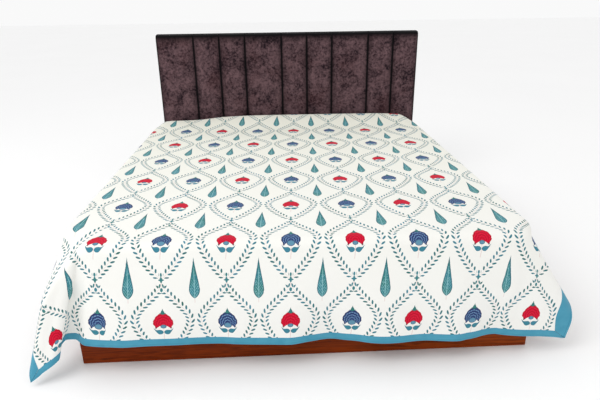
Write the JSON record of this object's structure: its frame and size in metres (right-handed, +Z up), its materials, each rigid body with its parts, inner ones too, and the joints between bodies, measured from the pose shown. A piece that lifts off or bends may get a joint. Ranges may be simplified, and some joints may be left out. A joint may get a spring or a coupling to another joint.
{
  "type": "block printed bed sheet on a double bed",
  "caption": "Cotton bed sheet block printed with flowers, leaf lattice and cypresses, teal border, falling over the foot and sides of a mattress on a wooden bed with upholstered headboard.",
  "frame": {"origin": "middle of the footprint of the whole object, on the floor", "axes": "+X to the right seen from the foot of the bed, +Y from the foot towards the headboard, +Z up"},
  "size_m": [2.105, 2.1714, 1.13],
  "materials": {
    "printed_cotton": "matt plain weave cotton with a block print in crimson, blue and teal green",
    "teal_cotton": "matt plain weave cotton, plain teal",
    "ticking": "matt woven mattress ticking",
    "wood": "reddish brown wood, satin",
    "deck_board": "plain board",
    "upholstery": "dark brown mottled upholstery cloth"
  },
  "bodies": {
    "root": {"base_foot_panel": "wood", "base_left_panel": "wood", "base_right_panel": "wood", "base_head_panel": "wood", "base_deck": "deck_board", "headboard_board": "upholstery", "headboard_pad_1": "upholstery", "headboard_pad_2": "upholstery", "headboard_pad_3": "upholstery", "headboard_pad_4": "upholstery", "headboard_pad_5": "upholstery", "headboard_pad_6": "upholstery", "headboard_pad_7": "upholstery", "headboard_pad_8": "upholstery", "headboard_pad_9": "upholstery", "mattress": "ticking", "sheet_panel": "printed_cotton", "border_foot": "teal_cotton", "border_head": "teal_cotton", "border_left": "teal_cotton", "border_right": "teal_cotton"}
  },
  "joints": []
}
